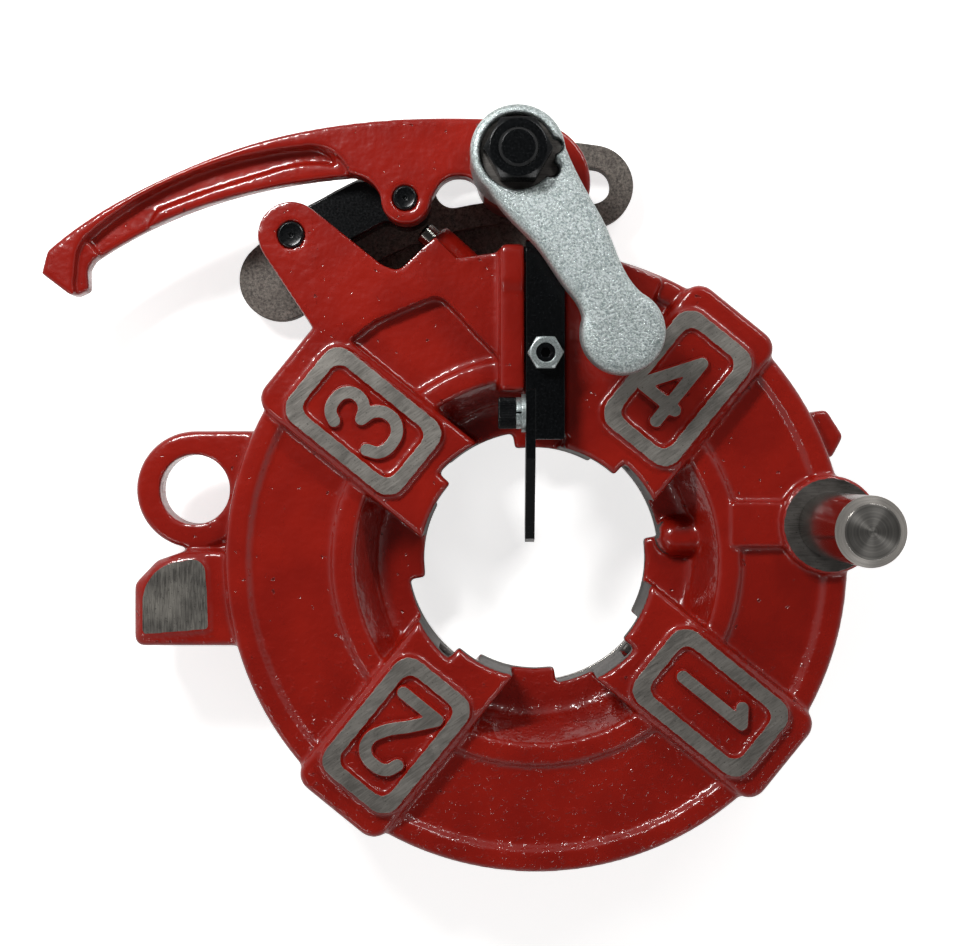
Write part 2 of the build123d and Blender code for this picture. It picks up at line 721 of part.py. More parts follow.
# Clamp stud with its flat head, the plate under the cam plate's lobe, and the spacer on the lever
spacer_top = lever_top + spacer_thick
clamp_foot = spacer_top + gap
clamp_top = clamp_foot + clamp_hub_height
recess_floor = clamp_top - nut_recess_depth
nut_foot = recess_floor + lock_washer_thick
nut_top = nut_foot + nut_height
plate_foot = lobe_level - gap - clamp_plate_thick
with BuildPart() as clamp_stud:
    with BuildSketch(Plane.XY.offset(plate_foot - stud_head_height)):
        with Locations(stud_at):
            Circle(stud_head_r)
    extrude(amount=stud_head_height)
    with BuildSketch(Plane.XY.offset(plate_foot)):
        with Locations(stud_at):
            Circle(stud_neck_r)
    extrude(amount=plate_thick + gap - plate_foot)
    with BuildSketch(Plane.XY.offset(plate_thick + gap)):
        with Locations(stud_at):
            Circle(stud_r)
    extrude(amount=nut_top + 1.5 - plate_thick - gap)
    chamfer(clamp_stud.faces().sort_by(Axis.Z)[-1].edges(), 1.2)
write(clamp_stud, "clamp_stud")

with BuildPart() as clamp_plate:
    with BuildSketch(Plane.XY.offset(plate_foot)):
        with Locations(stud_at):
            Circle(clamp_plate_r)
            Circle(stud_neck_r + pin_gap, mode=Mode.SUBTRACT)
    extrude(amount=clamp_plate_thick)
write(clamp_plate, "clamp_plate")

with BuildPart() as clamp_spacer:
    with BuildSketch(Plane.XY.offset(lever_top)):
        with Locations(stud_at):
            Circle(spacer_r)
            Circle(stud_r + pin_gap, mode=Mode.SUBTRACT)
    extrude(amount=spacer_thick)
write(clamp_spacer, "clamp_spacer")

# Clamp lever: hub with the nut recess, tapered arm and round knob
arm_turn = degrees(atan2(clamp_knob_at[1] - stud_at[1], clamp_knob_at[0] - stud_at[0]))
arm_reach = hypot(clamp_knob_at[0] - stud_at[0], clamp_knob_at[1] - stud_at[1])
arm_direction = (cos(radians(arm_turn)), sin(radians(arm_turn)), 0)
clamp_plane = Plane(origin=(*stud_at, 0), x_dir=arm_direction, z_dir=(0, 0, 1))
with BuildPart() as clamp_arm:
    with BuildSketch(clamp_plane.offset(clamp_top - clamp_arm_thick)):
        with BuildLine():
            Spline((6, 18), (29, 16), (45, 15.5), (64, 13), (arm_reach - 8, 15))
            Line((arm_reach - 8, 15), (arm_reach - 8, -15))
            Spline((arm_reach - 8, -15), (66, -10.2), (57, -11.1), (36, -12.8), (22, -16.2), (6, -18))
            Line((6, -18), (6, 18))
        make_face()
        Circle(clamp_hub_r)
        with Locations((arm_reach, 0)):
            Circle(clamp_knob_r)
    extrude(amount=clamp_arm_thick)
    fillet(clamp_arm.faces().filter_by(Axis.Z).edges(), clamp_round)
with BuildPart() as clamp_lever:
    with BuildSketch(Plane.XY.offset(clamp_foot)):
        with Locations(stud_at):
            Circle(clamp_hub_r)
    extrude(amount=clamp_hub_height - clamp_arm_thick / 2)
    chamfer(clamp_lever.faces().sort_by(Axis.Z)[0].edges(), 1)
    knob_foot = clamp_top - clamp_knob_height
    knob_plane = Plane(origin=(*clamp_knob_at, knob_foot), x_dir=(1, 0, 0), z_dir=(0, -1, 0))
    with BuildSketch(knob_plane) as knob_section:
        Rectangle(clamp_knob_r, clamp_knob_height - clamp_arm_thick / 2, align=(Align.MIN, Align.MIN))
        fillet(knob_section.vertices().group_by(Axis.X)[-1].sort_by(Axis.Y)[0], clamp_knob_height * 0.35)
    revolve(axis=Axis((*clamp_knob_at, 0), (0, 0, 1)))
    add(clamp_arm.part)
    with BuildSketch(Plane.XY.offset(recess_floor)):
        with Locations(stud_at):
            Circle(nut_recess_r)
        with Locations(stud_at):
            with PolarLocations(nut_recess_r, 2, start_angle=8, angular_range=-72):
                Circle(3.4)
    extrude(amount=nut_recess_depth + 5, mode=Mode.SUBTRACT)
    with Locations((*stud_at, clamp_top)):
        Hole(stud_r + pin_gap)
write(clamp_lever, "clamp_lever")

with BuildPart() as lock_washer:
    with BuildSketch(Plane.XY.offset(recess_floor)):
        with Locations(stud_at):
            Circle(nut_recess_r - gap)
            Circle(stud_r + pin_gap, mode=Mode.SUBTRACT)
            with PolarLocations(nut_recess_r - 0.4, 2, start_angle=8, angular_range=-72):
                Circle(2.8)
    extrude(amount=lock_washer_thick)
write(lock_washer, "lock_washer")


def hexagon_nut(at, level, across, height, hole_r):
    """A hexagon nut with chamfered corners, its hole along Z."""
    with BuildPart(mode=Mode.PRIVATE) as nut:
        with BuildSketch(Plane.XY.offset(level)):
            with Locations(at):
                RegularPolygon(across / 2, 6, major_radius=False)
        extrude(amount=height)
        with Locations((*at, level)):
            Cone(
                0.475 * across + height * sqrt(3),
                0.475 * across,
                height,
                align=(Align.CENTER, Align.CENTER, Align.MIN),
                mode=Mode.INTERSECT,
            )
        with Locations((*at, level + height)):
            Hole(hole_r)
    return nut


clamp_nut = hexagon_nut(stud_at, nut_foot, nut_across, nut_height, stud_r + pin_gap)
write(clamp_nut, "clamp_nut")

# Trigger bar on its pivot, with the wedge foot that drives the trip plunger
adjuster_at = (bar_at_x, adjuster_y)
wedge_plane = Plane(
    origin=(*plunger_tip_at, 0),
    x_dir=plunger_dir,
    z_dir=(plunger_dir[1], -plunger_dir[0], 0),
)
with BuildPart() as trigger_bar:
    with BuildSketch(Plane.YZ.offset(bar_left)):
        with Locations(((bar_tip_y + pivot_y) / 2, bar_level + bar_thick / 2)):
            Rectangle(pivot_y - bar_tip_y, bar_thick)
        with Locations((pivot_y, pivot_level)):
            Circle(bar_level + bar_thick - pivot_level)
    extrude(amount=bar_width)
    with BuildSketch(wedge_plane.offset(-foot_width / 2)):
        with BuildLine():
            Polyline(
                (foot_at - (plunger_level - foot_level), foot_level),
                (foot_at + 2, plunger_level + 2),
                (foot_at + 2, bar_level + 1),
                (foot_at + 6, bar_level + 1),
                (foot_at + 6, foot_level),
                close=True,
            )
        make_face()
    extrude(amount=foot_width)
    with BuildSketch(Plane.XY.offset(bar_level)):
        with Locations((bar_left + blade_thick / 2, (bar_tip_y + trigger_screw_y + 10) / 2)):
            Rectangle(blade_thick, trigger_screw_y + 10 - bar_tip_y)
    extrude(amount=bar_thick, mode=Mode.SUBTRACT)
    with Locations((*adjuster_at, bar_level + bar_thick)):
        Hole(adjuster_r + pin_gap, bar_thick)
    with BuildSketch(Plane.YZ.offset(bar_left - 1)):
        with Locations((pivot_y, pivot_level)):
            Circle(pivot_r + pin_gap)
        with Locations((trigger_screw_y, pivot_level)):
            Circle(cap_screw_r + pin_gap)
    extrude(amount=bar_width + 2, mode=Mode.SUBTRACT)
write(trigger_bar, "trigger_bar")

with BuildPart() as trigger_pivot_pin:
    with BuildSketch(Plane.YZ.offset(wall_left + 1)):
        with Locations((pivot_y, pivot_level)):
            Circle(pivot_r)
    extrude(amount=bar_right + 18 + 3.5 - wall_left - 1)
    chamfer(trigger_pivot_pin.faces().filter_by(Axis.X).edges(), 0.6)
write(trigger_pivot_pin, "trigger_pivot_pin")

# Trigger blade: flat finger let into the bar's side, hanging over the bore
with BuildPart() as trigger_blade:
    with BuildSketch(Plane.YZ.offset(bar_left)) as blade_plan:
        with BuildLine():
            Polyline(
                (trigger_screw_y + 10 - gap, bar_level + bar_thick),
                (trigger_screw_y + 10 - gap, bar_level + 0.5),
                (bar_tip_y - 1, bar_level - 3),
                (blade_end_y + 8, bar_level - 16),
                (blade_end_y, bar_level - 12),
                (blade_end_y + 2, bar_level - 5),
                (bar_tip_y - 8, bar_level + bar_thick),
                close=True,
            )
        make_face()
        fillet(blade_plan.vertices().group_by(Axis.X)[0:1], 2)
    extrude(amount=blade_thick)
    with BuildSketch(Plane.YZ.offset(bar_left - 1)):
        with Locations((trigger_screw_y, pivot_level)):
            Circle(cap_screw_r + pin_gap)
    extrude(amount=blade_thick + 2, mode=Mode.SUBTRACT)
write(trigger_blade, "trigger_blade")

with BuildPart() as flat_washer:
    with BuildSketch(Plane.YZ.offset(bar_left - flat_washer_thick)):
        with Locations((trigger_screw_y, pivot_level)):
            Circle(2 * cap_screw_r)
            Circle(cap_screw_r + pin_gap, mode=Mode.SUBTRACT)
    extrude(amount=flat_washer_thick)
write(flat_washer, "flat_washer")

washer_face_x = bar_left - flat_washer_thick
with BuildPart() as spring_washer:
    with BuildSketch(Plane.YZ.offset(washer_face_x - spring_washer_thick)):
        with Locations((trigger_screw_y, pivot_level)):
            Circle(cap_head_r)
            Circle(cap_screw_r + pin_gap, mode=Mode.SUBTRACT)
        with Locations((trigger_screw_y, pivot_level + cap_head_r)):
            Rectangle(0.8, 2 * (cap_head_r - cap_screw_r), mode=Mode.SUBTRACT)
    extrude(amount=spring_washer_thick)
write(spring_washer, "spring_washer")

head_face_x = washer_face_x - spring_washer_thick
with BuildPart() as trigger_screw:
    with BuildSketch(Plane.YZ.offset(head_face_x - cap_head_length)):
        with Locations((trigger_screw_y, pivot_level)):
            Circle(cap_head_r)
    extrude(amount=cap_head_length)
    chamfer(trigger_screw.faces().sort_by(Axis.X)[0].edges(), 0.6)
    with BuildSketch(Plane.YZ.offset(head_face_x)):
        with Locations((trigger_screw_y, pivot_level)):
            Circle(cap_screw_r)
    extrude(amount=bar_right - head_face_x)
    with BuildSketch(Plane.YZ.offset(head_face_x - cap_head_length)):
        with Locations((trigger_screw_y, pivot_level)):
            RegularPolygon(3, 6, major_radius=False)
    extrude(amount=cap_head_length / 2, mode=Mode.SUBTRACT)
write(trigger_screw, "trigger_screw")

# Adjusting screw and its lock nut
with BuildPart() as adjusting_screw:
    with BuildSketch(Plane.XY.offset(arm_level - channel_depth + gap)):
        with Locations(adjuster_at):
            Circle(adjuster_r)
    extrude(amount=bar_level + bar_thick + lock_nut_height - 0.5 - (arm_level - channel_depth + gap))
    with BuildSketch(Plane.XY.offset(bar_level + bar_thick)):
        with Locations(adjuster_at):
            RegularPolygon(2, 6, major_radius=False)
    extrude(amount=lock_nut_height, mode=Mode.SUBTRACT)
write(adjusting_screw, "adjusting_screw")

bar_top = bar_level + bar_thick
lock_nut = hexagon_nut(adjuster_at, bar_top, lock_nut_across, lock_nut_height, adjuster_r + pin_gap)
write(lock_nut, "lock_nut")

# Trip plunger with its collar and return spring
with BuildPart() as trip_plunger:
    with BuildSketch(plunger_axis):
        Circle(plunger_r)
    extrude(amount=foot_at - 1)
    plunger_ends = trip_plunger.edges().filter_by(GeomType.CIRCLE)
    plunger_ends = plunger_ends.sort_by_distance((*plunger_tip_at, plunger_level))
    chamfer(plunger_ends[0], 1)
    chamfer(plunger_ends[-1], plunger_r - 0.2)
    with BuildSketch(plunger_axis.offset(plunger_collar_at)):
        Circle(plunger_collar_r)
    extrude(amount=3)
write(trip_plunger, "trip_plunger")

spring_room = plunger_collar_at - plunger_guide - plunger_travel - gap
with BuildPart() as plunger_spring:
    with BuildLine():
        coil = Helix(
            pitch=(spring_room - 2 * spring_wire_r) / spring_turns,
            height=spring_room - 2 * spring_wire_r,
            radius=(plunger_r + plunger_collar_r) / 2 + 0.1,
            center=plunger_axis.offset(plunger_collar_at - spring_room + spring_wire_r).origin,
            direction=plunger_dir,
        )
    with BuildSketch(Plane(coil @ 0, z_dir=coil % 0)):
        Circle(spring_wire_r)
    sweep(path=coil, is_frenet=True)
write(plunger_spring, "plunger_spring")
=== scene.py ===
# Pipe threading die head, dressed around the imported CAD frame. Lengths are metres, angles degrees.
import json
from math import cos, pi, radians, sin

import bmesh
import bpy
from mathutils import Matrix, Vector

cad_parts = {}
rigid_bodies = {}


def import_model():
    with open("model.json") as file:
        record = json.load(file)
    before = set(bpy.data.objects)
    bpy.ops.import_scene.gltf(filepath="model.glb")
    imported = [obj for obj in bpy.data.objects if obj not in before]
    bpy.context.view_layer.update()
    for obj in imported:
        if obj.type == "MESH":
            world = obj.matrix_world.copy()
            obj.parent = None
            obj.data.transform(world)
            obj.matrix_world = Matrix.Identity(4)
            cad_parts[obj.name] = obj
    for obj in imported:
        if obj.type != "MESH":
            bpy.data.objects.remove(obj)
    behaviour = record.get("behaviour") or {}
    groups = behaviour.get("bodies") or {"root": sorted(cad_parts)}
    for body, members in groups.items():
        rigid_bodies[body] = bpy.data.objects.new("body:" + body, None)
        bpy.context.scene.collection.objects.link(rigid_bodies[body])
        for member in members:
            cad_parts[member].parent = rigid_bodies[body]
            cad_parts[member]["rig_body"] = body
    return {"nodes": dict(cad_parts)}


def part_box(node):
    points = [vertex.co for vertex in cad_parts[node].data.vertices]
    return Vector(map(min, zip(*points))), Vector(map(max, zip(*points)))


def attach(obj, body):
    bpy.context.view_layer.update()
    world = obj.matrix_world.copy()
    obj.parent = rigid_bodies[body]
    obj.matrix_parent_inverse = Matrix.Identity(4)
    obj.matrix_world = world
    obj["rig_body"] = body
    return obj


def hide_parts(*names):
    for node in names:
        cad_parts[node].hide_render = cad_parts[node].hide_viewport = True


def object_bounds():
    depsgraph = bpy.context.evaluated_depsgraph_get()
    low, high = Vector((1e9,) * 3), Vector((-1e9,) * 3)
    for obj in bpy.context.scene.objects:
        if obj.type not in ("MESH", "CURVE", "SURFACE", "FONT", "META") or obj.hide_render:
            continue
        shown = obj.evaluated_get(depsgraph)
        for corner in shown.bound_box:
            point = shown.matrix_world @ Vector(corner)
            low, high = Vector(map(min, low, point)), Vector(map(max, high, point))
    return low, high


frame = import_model()
cad_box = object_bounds()
mm = 0.001
straight_up = (0, 0, 1)


def around(radius, angle, height=0):
    """A point at that radius, angle and height round the pipe axis."""
    return Vector((radius * cos(radians(angle)), radius * sin(radians(angle)), height))


# Places on the head, from the part's own sizes
pad_mid_r = 94 * mm
pad_top = 61.55 * mm
boss_top = 60.1 * mm
rest_top = 51.8 * mm
rest_mid = Vector((-156.5 * mm, -16.7 * mm, 0))
bore_wall_r = 60 * mm
machined_below = 15 * mm

# The plunger's bore: its mouth, its way in, and the wider part that holds the spring
plunger_tip = Vector((-48.6 * mm, 142.3 * mm, 36 * mm))
plunger_way = around(1, -42)
spring_from = 18 * mm
spring_room = 26 * mm
spring_bore_r = 6.5 * mm

# How far each milled face reaches from its middle
pad_reach = 50 * mm
boss_reach = 23 * mm
rest_reach = 24.5 * mm

# The skin of each casting: its grain, its smoothing passes and the most triangles that it may have
skins = {
    "head_casting": (0.95 * mm, 11, 170000),
    "throwout_lever": (0.8 * mm, 16, 90000),
    "clamp_lever": (0.6 * mm, 14, 60000),
}

# Metal in the corner between ear, rest block and ring, in millimetres: its middle and its size
ear_corner = ((-137.5, 3, 36), (17, 12, 15))

# Each pad's angle, its numeral and the strokes as the pattern maker cut them, in millimetres.
# Up is away from the bore. A bent stroke is a smooth curve through its points.
numeral_stroke = 5.2 * mm
numeral_depth = 2.2 * mm
numeral_grain = 0.45 * mm
numeral_sunk = 0.02 * mm
numerals = {
    51: ("4", [[(1.6, 14.4), (1.6, -16.4)], [(5.0, -8.0), (-12.4, -8.0)], [(1.6, 14.4), (-12.4, -7.0)]]),
    141: (
        "3",
        [
            [(-7.6, 9.6), (-5.4, 13.3), (-0.6, 14.9), (4.8, 13.2), (6.9, 8.8), (4.8, 3.5), (0.2, 1.2)],
            [(0.2, 1.2), (6.2, -1.3), (8.9, -7.0), (6.6, -12.9), (0.5, -15.2), (-5.8, -13.6), (-8.5, -8.6)],
        ],
    ),
    231: (
        "2",
        [
            [(-8.2, 9.4), (-6.0, 13.7), (-0.4, 15.4), (5.8, 13.5)]
            + [(7.9, 8.6), (5.4, 2.0), (-1.8, -6.4), (-9.2, -15.6)],
            [(-9.2, -15.9), (9.0, -15.9)],
        ],
    ),
    321: ("1", [[(-1.1, -15.9), (-1.1, 15.9)], [(-1.1, 15.9), (-6.6, 11.8)]]),
}

# The photograph looks straight down, from this place over the rest plane
camera_place = (-23.94 * mm, 40.74 * mm, 842 * mm)
# Blender wants the sensor and the lens in millimetres; the photo is in pixels
camera_sensor = 36
camera_lens = 69.64
photo_width = 960
photo_shift = -8

# Lamps: azimuth, elevation, distance, width, height and watts
softboxes = (
    (125, 46, 0.75, 0.24, 0.08, 3.3),
    (55, 42, 1.0, 0.4, 0.08, 2.0),
    (-50, 42, 1.3, 0.5, 0.06, 1.0),
    (-135, 42, 1.3, 0.5, 0.06, 1.3),
)


def srgb(code):
    """A colour written as sRGB hex, as linear RGBA."""
    channels = [int(code[i : i + 2], 16) / 255 for i in (1, 3, 5)]
    return [c / 12.92 if c <= 0.04045 else ((c + 0.055) / 1.055) ** 2.4 for c in channels] + [1.0]


def add(tree, kind, inputs=(), **settings):
    """Adds a node, sets its settings and links or sets its inputs."""
    made = tree.nodes.new("ShaderNode" + kind)
    for name, value in settings.items():
        setattr(made, name, value)
    for name, value in dict(inputs).items():
        if isinstance(value, bpy.types.NodeSocket):
            tree.links.new(value, made.inputs[name])
        else:
            made.inputs[name].default_value = value
    return made


def surface(name, **sockets):
    """A new material with a Principled shader, its sockets set.
    Returns the material, its tree, the shader and the Object coordinates."""
    material = bpy.data.materials.new(name)
    material.use_nodes = True
    tree = material.node_tree
    shader = tree.nodes["Principled BSDF"]
    for socket, value in sockets.items():
        shader.inputs[socket.replace("_", " ")].default_value = value
    place = add(tree, "TexCoord").outputs["Object"]
    return material, tree, shader, place


def noise(tree, place, size, detail=2.0, roughness=0.5):
    """Fractal noise with features of a real size."""
    inputs = {"Vector": place, "Scale": 1 / size, "Detail": detail, "Roughness": roughness}
    return add(tree, "TexNoise", inputs).outputs["Fac"]


def spread(tree, value, low, high, to_low=0.0, to_high=1.0):
    """Maps value from low..high to to_low..to_high, clamped."""
    inputs = {"Value": value, "From Min": low, "From Max": high, "To Min": to_low, "To Max": to_high}
    return add(tree, "MapRange", inputs).outputs["Result"]


def maths(tree, operation, first, second):
    """One step of arithmetic on two sockets."""
    return add(tree, "Math", {0: first, 1: second}, operation=operation).outputs[0]


def blend_colours(tree, factor, first, second):
    """Mixes two colours, given as hex or as sockets."""
    made = add(tree, "MixRGB", {"Fac": factor})
    for socket, value in (("Color1", first), ("Color2", second)):
        if isinstance(value, str):
            made.inputs[socket].default_value = srgb(value)
        else:
            tree.links.new(value, made.inputs[socket])
    return made.outputs["Color"]


def bump(tree, height, depth, normal=None):
    """Bump of a real depth."""
    inputs = {"Height": height, "Distance": depth, "Strength": 1.0}
    if normal is not None:
        inputs["Normal"] = normal
    return add(tree, "Bump", inputs).outputs["Normal"]


def rounded_edges(tree, radius):
    """Normals that round sharp edges by that radius."""
    return add(tree, "Bevel", {"Radius": radius}, samples=6).outputs["Normal"]


def coat_with(tree, shader, colour, normal, roughness=None):
    """Links a colour, a normal and, where it varies, a roughness to the shader."""
    tree.links.new(colour, shader.inputs["Base Color"])
    tree.links.new(normal, shader.inputs["Normal"])
    if roughness is not None:
        tree.links.new(roughness, shader.inputs["Roughness"])


def red_enamel():
    """Red gloss enamel sprayed thick over sand-cast iron: wet highlight lines, orange peel, a few pits with
    painted shade in them, and nibs of sand where the mould crumbled, towards the foot of the ring."""
    material, tree, shader, place = surface(
        "red_enamel_on_sand_casting",
        Roughness=0.3,
        IOR=1.5,
        Specular_IOR_Level=0.25,
        Coat_Weight=0.7,
        Coat_Roughness=0.045,
    )
    tone = spread(tree, noise(tree, place, 26 * mm), 0.35, 0.65)
    colour = blend_colours(tree, tone, "#94190d", "#86140a")
    pits = spread(tree, noise(tree, place, 3.0 * mm, 1.0), 0.73, 0.80)
    # The pits are dented by the bump below and also painted darker: painted shade in their hollows.
    colour = blend_colours(tree, spread(tree, pits, 0, 1, 0, 0.7), colour, "#4a0805")
    side = add(tree, "SeparateXYZ", {0: place}).outputs["Y"]
    crumbled_from, crumbled_most = -5 * mm, -75 * mm
    crumbled = spread(tree, side, crumbled_from, crumbled_most)
    nibs = spread(tree, noise(tree, place, 3.0 * mm, 2.0), 0.54, 0.76)
    nibs = maths(tree, "MULTIPLY", nibs, crumbled)
    # Waves of the sand, orange peel and fine grit: size in millimetres, detail, depth in millimetres
    normal = None
    for size, detail, depth in ((9, 2.0, 0.45), (3.5, 1.0, 0.2), (1.2, 2.0, 0.045)):
        normal = bump(tree, noise(tree, place, size * mm, detail), depth * mm, normal)
    normal = bump(tree, spread(tree, pits, 0, 1, 1, 0), 0.2 * mm, normal)
    normal = bump(tree, nibs, 0.28 * mm, normal)
    coat_with(tree, shader, colour, normal)
    tree.links.new(normal, shader.inputs["Coat Normal"])
    return material


def milled_iron(name, light, dark, streak_turn):
    """Grey iron faced with a milling cutter: fine parallel streaks, soft sheen, small dark pores."""
    material, tree, shader, place = surface(name, Metallic=0.7, Roughness=0.45)
    streak_length = 12
    inputs = {"Vector": place, "Rotation": (0, 0, radians(streak_turn)), "Scale": (1, 1 / streak_length, 1)}
    along = add(tree, "Mapping", inputs, vector_type="TEXTURE").outputs["Vector"]
    streaks = noise(tree, along, 6 * mm, 4.0, 0.65)
    pores = spread(tree, noise(tree, place, 0.8 * mm, 2.0), 0.62, 0.75)
    blotches = noise(tree, place, 11 * mm, 2.0)
    tone = maths(tree, "ADD", streaks, blotches)
    colour = blend_colours(tree, spread(tree, tone, 0.75, 1.25), dark, light)
    colour = blend_colours(tree, spread(tree, pores, 0, 1, 0, 0.7), colour, "#2a2826")
    normal = bump(tree, streaks, 0.03 * mm, rounded_edges(tree, 0.5 * mm))
    coat_with(tree, shader, colour, normal, spread(tree, streaks, 0.3, 0.7, 0.36, 0.52))
    return material


def turned_steel():
    """Ground and polished steel: clear reflections, faint turning lines round it."""
    material, tree, shader, place = surface("polished_turned_steel", Metallic=1.0, Roughness=0.16)
    rings = add(tree, "Mapping", {"Vector": place, "Scale": (0.05, 0.05, 1)}).outputs["Vector"]
    lines = noise(tree, rings, 0.7 * mm, 3.0, 0.7)
    colour = blend_colours(tree, spread(tree, lines, 0.35, 0.65), "#8f8b86", "#a8a39d")
    coat_with(tree, shader, colour, bump(tree, lines, 0.004 * mm, rounded_edges(tree, 0.4 * mm)))
    return material


def faced_steel(centre):
    """An end faced in the lathe: rings round its centre that catch the light in turn."""
    material, tree, shader, place = surface(
        "faced_steel_end", Metallic=1.0, Roughness=0.3, Anisotropic=0.85, Anisotropic_Rotation=0.25
    )
    inputs = {"Vector": place, "Location": (-centre.x, -centre.y, 0), "Scale": (1, 1, 0)}
    middle = add(tree, "Mapping", inputs).outputs["Vector"]
    radius = add(tree, "VectorMath", {0: middle}, operation="LENGTH").outputs["Value"]
    across = add(tree, "CombineXYZ", {"X": radius}).outputs[0]
    rings = noise(tree, across, 0.9 * mm, 2.0, 0.6)
    colour = blend_colours(tree, spread(tree, rings, 0.3, 0.7), "#a29e99", "#dcd8d1")
    coat_with(tree, shader, colour, bump(tree, rings, 0.03 * mm, rounded_edges(tree, 0.4 * mm)))
    round_it = add(tree, "Tangent", direction_type="RADIAL", axis="Z")
    tree.links.new(round_it.outputs["Tangent"], shader.inputs["Tangent"])
    return material


def black_oxide():
    """Black-oxided steel, slightly oily: nearly black, soft highlights, fine speckle where it is rough."""
    material, tree, shader, place = surface(
        "black_oxide_steel", Metallic=0.1, Roughness=0.25, Specular_IOR_Level=0.4
    )
    speckle = noise(tree, place, 0.9 * mm, 2.0)
    colour = blend_colours(tree, spread(tree, speckle, 0.3, 0.75), "#030405", "#0b0d0f")
    normal = bump(tree, speckle, 0.008 * mm, rounded_edges(tree, 0.5 * mm))
    coat_with(tree, shader, colour, normal, spread(tree, speckle, 0.3, 0.7, 0.18, 0.28))
    return material


def zinc_plate(name, grain, depth):
    """Bright zinc: the light breaks up into small sparkles on a rough casting; the grain's tops are also
    painted lighter and its hollows darker, painted sparkle and painted shade.
    """
    material, tree, shader, place = surface(name, Metallic=0.8, Roughness=0.34)
    fine_size, fine_depth = 0.4, 0.35
    cells = noise(tree, place, grain, 3.0, 0.65)
    fine = noise(tree, place, grain * fine_size, 2.0, 0.6)
    # The tone follows the grain's height: painted sparkle on the tops and painted shade in the hollows.
    colour = blend_colours(tree, spread(tree, cells, 0.38, 0.62), "#8c9897", "#d3dbda")
    normal = bump(tree, cells, depth, rounded_edges(tree, 0.8 * mm))
    normal = bump(tree, fine, depth * fine_depth, normal)
    coat_with(tree, shader, colour, normal, spread(tree, fine, 0.3, 0.7, 0.24, 0.46))
    return material


def rough_forging():
    """Forged and blasted steel of the cam plate: dull grey with dark grains."""
    material, tree, shader, place = surface("blasted_forging", Metallic=0.45, Roughness=0.55)
    grains = noise(tree, place, 1.2 * mm, 4.0, 0.75)
    patches = noise(tree, place, 8 * mm, 2.0)
    colour = blend_colours(tree, spread(tree, grains, 0.36, 0.64), "#383431", "#7f7870")
    colour = blend_colours(tree, spread(tree, patches, 0.4, 0.7, 0, 0.4), colour, "#57514b")
    coat_with(tree, shader, colour, bump(tree, grains, 0.1 * mm, rounded_edges(tree, 0.8 * mm)))
    return material


post_low, post_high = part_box("mounting_post")
post_mid = (post_low + post_high) / 2
enamel = red_enamel()
milled = milled_iron("milled_grey_iron", "#a39e97", "#7b7771", 35)
sawn = milled_iron("sawn_grey_iron", "#949088", "#5a5753", 90)
bored = milled_iron("bored_grey_iron", "#726e6a", "#45423f", 0)
steel = turned_steel()
post_end = faced_steel(post_mid)
black = black_oxide()
zinc = zinc_plate("bright_zinc_plate", 0.8 * mm, 0.3 * mm)
zinc_smooth = zinc_plate("zinc_plated_nut", 0.5 * mm, 0.01 * mm)
forging = rough_forging()


def placed(name, data):
    """A new object in the scene that shows this data."""
    made = bpy.data.objects.new(name, data)
    bpy.context.scene.collection.objects.link(made)
    return made


def as_mesh(shape, name):
    """A mesh of a bmesh, which is freed."""
    mesh = bpy.data.meshes.new(name)
    shape.to_mesh(mesh)
    shape.free()
    return mesh


def as_bmesh(mesh):
    """A bmesh of a mesh."""
    shape = bmesh.new()
    shape.from_mesh(mesh)
    return shape


def merged(node):
    """A bmesh of a CAD node's shape, with its doubles merged and its flat faces joined."""
    doubles_within = 0.002 * mm
    flat_within = radians(0.4)
    shape = as_bmesh(frame["nodes"][node].data)
    bmesh.ops.remove_doubles(shape, verts=shape.verts, dist=doubles_within)
    bmesh.ops.dissolve_limit(
        shape, angle_limit=flat_within, verts=shape.verts, edges=shape.edges, delimit={"NORMAL"}
    )
    return shape


def modified(holder):
    """The mesh of an object with its modifiers applied."""
    depsgraph = bpy.context.evaluated_depsgraph_get()
    return bpy.data.meshes.new_from_object(holder.evaluated_get(depsgraph))


def skin_over(holder, grain):
    """Grows what overlaps in an object into one closed skin."""
    skin = holder.modifiers.new("skin", "REMESH")
    skin.mode = "VOXEL"
    skin.voxel_size = grain


def piece(name, shape, body, finishes, replaced=(), sharp=32):
    """Makes an object of a bmesh, shades it smooth up to that angle, and lets it ride on its body."""
    for edge in shape.edges:
        sides = {face.material_index for face in edge.link_faces}
        inner = len(edge.link_faces) == 2 and len(sides) == 1
        edge.smooth = inner and edge.calc_face_angle(pi) < radians(sharp)
    for face in shape.faces:
        face.smooth = True
    mesh = as_mesh(shape, name)
    for finish in finishes:
        mesh.materials.append(finish)
    made = placed(name, mesh)
    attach(made, body)
    if replaced:
        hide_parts(*replaced)


def finish_node(node, finish):
    """A CAD node whose shape is right keeps it and gets a finish."""
    slots = frame["nodes"][node].data.materials
    slots.clear()
    slots.append(finish)


def faces_bore(face, middle):
    """Whether an upright face looks at the pipe axis and lies on the bore's wall."""
    radius = middle.xy.length
    outwards = face.normal.xy.dot(middle.xy) / max(radius, mm)
    return abs(face.normal.z) < 0.3 and outwards < -0.35 and radius < bore_wall_r


